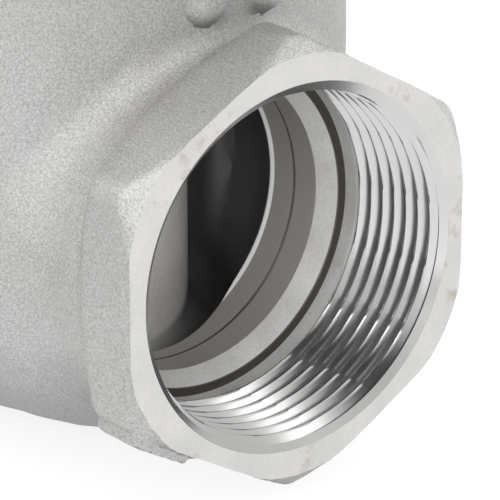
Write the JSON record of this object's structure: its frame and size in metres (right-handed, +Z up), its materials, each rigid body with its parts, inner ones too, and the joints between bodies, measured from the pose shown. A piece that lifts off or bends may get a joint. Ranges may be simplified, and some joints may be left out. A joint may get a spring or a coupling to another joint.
{
  "type": "pressure relief valve",
  "caption": "Inline spring-loaded relief valve: cast body with hexagonal threaded ports, bolted bonnet, seat, disc, stem and spring, and an adjusting screw with lock nut and tee bar.",
  "frame": {"origin": "centre of the inlet port's mouth, on the port axis", "axes": "+X along the flow from the inlet to the outlet, +Z up along the stem"},
  "size_m": [0.104, 0.1064, 0.2319],
  "materials": {
    "cast_steel": "bead-blasted cast stainless steel",
    "turned_steel": "turned stainless steel",
    "polished_steel": "polished",
    "spring_steel": "drawn wire, satin",
    "seal_rubber": "smooth",
    "seat_plastic": "white PTFE",
    "bush_bronze": "turned bronze",
    "gasket_fibre": "grey fibre sheet"
  },
  "bodies": {
    "valve_body": {"body": "cast_steel", "seat_ring": "turned_steel", "seat_ring_seal": "seal_rubber", "guide_plate": "turned_steel", "guide_bush": "bush_bronze", "body_gasket": "gasket_fibre", "bonnet": "cast_steel", "bonnet_bolts": "turned_steel", "bolt_washers": "spring_steel", "gauge_plug_left": "turned_steel", "gauge_plug_right": "turned_steel", "gauge_washer_left": "gasket_fibre", "gauge_washer_right": "gasket_fibre", "spring": "spring_steel"},
    "disc": {"disc_holder": "turned_steel", "seat_washer": "seat_plastic", "washer_retainer": "turned_steel", "retainer_screw": "turned_steel", "stem": "turned_steel", "stem_circlip": "spring_steel", "lower_spring_seat": "turned_steel"},
    "screw_carrier": {"upper_spring_seat": "turned_steel", "thrust_ball": "polished_steel"},
    "screw": {"adjusting_screw": "turned_steel", "tee_bar": "turned_steel", "bar_knob_left": "turned_steel", "bar_knob_right": "turned_steel"},
    "nut_carrier": {"lock_washer": "turned_steel"},
    "nut": {"lock_nut": "turned_steel"}
  },
  "joints": [
    {"name": "disc_lift", "type": "slide", "parent": "valve_body", "child": "disc", "axis": [0, 0, 1], "range_m": [0, 0.005], "stiffness_N_per_m": 30000, "springref_m": -0.008, "deforming": ["spring"]},
    {"name": "screw_travel", "type": "slide", "parent": "valve_body", "child": "screw_carrier", "axis": [0, 0, -1], "range_m": [0, 0.01], "deforming": ["spring"]},
    {"name": "screw_turn", "type": "hinge", "parent": "screw_carrier", "child": "screw", "pos_m": [0.052, 0, 0], "axis": [0, 0, -1], "range_deg": [0, 1440]},
    {"name": "nut_travel", "type": "slide", "parent": "valve_body", "child": "nut_carrier", "axis": [0, 0, 1], "range_m": [0, 0.0025]},
    {"name": "nut_turn", "type": "hinge", "parent": "nut_carrier", "child": "nut", "pos_m": [0.052, 0, 0], "axis": [0, 0, 1], "range_deg": [0, 360]}
  ],
  "couplings": [
    {"joint": "screw_travel", "follows": "screw_turn", "m_per_rad": 0.00039789},
    {"joint": "nut_travel", "follows": "nut_turn", "m_per_rad": 0.00039789}
  ]
}
